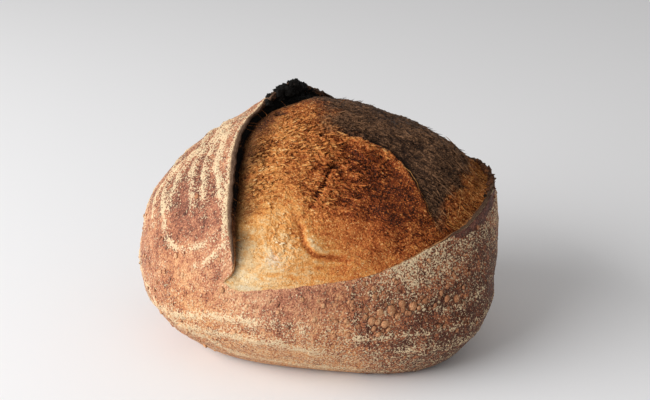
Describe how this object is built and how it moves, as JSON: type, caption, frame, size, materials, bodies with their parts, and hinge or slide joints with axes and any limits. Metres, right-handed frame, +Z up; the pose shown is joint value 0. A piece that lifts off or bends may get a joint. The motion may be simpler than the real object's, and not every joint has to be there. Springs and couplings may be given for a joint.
{
  "type": "sourdough loaf",
  "caption": "Round sourdough loaf with a flat base, a curved slash with a raised charred ear, and a browned bloom bursting through the floured crust.",
  "frame": {"origin": "middle of the flat base, under the middle of the loaf's bounding box, on the surface that it stands on", "axes": "+X along the loaf's longer side, with the raised lip of the slash on that side; -Y is the front, where the burst bloom faces; +Z up"},
  "size_m": [0.2254, 0.1908, 0.1552],
  "materials": {
    "crust": null
  },
  "bodies": {
    "root": {"loaf": "crust"}
  },
  "joints": []
}
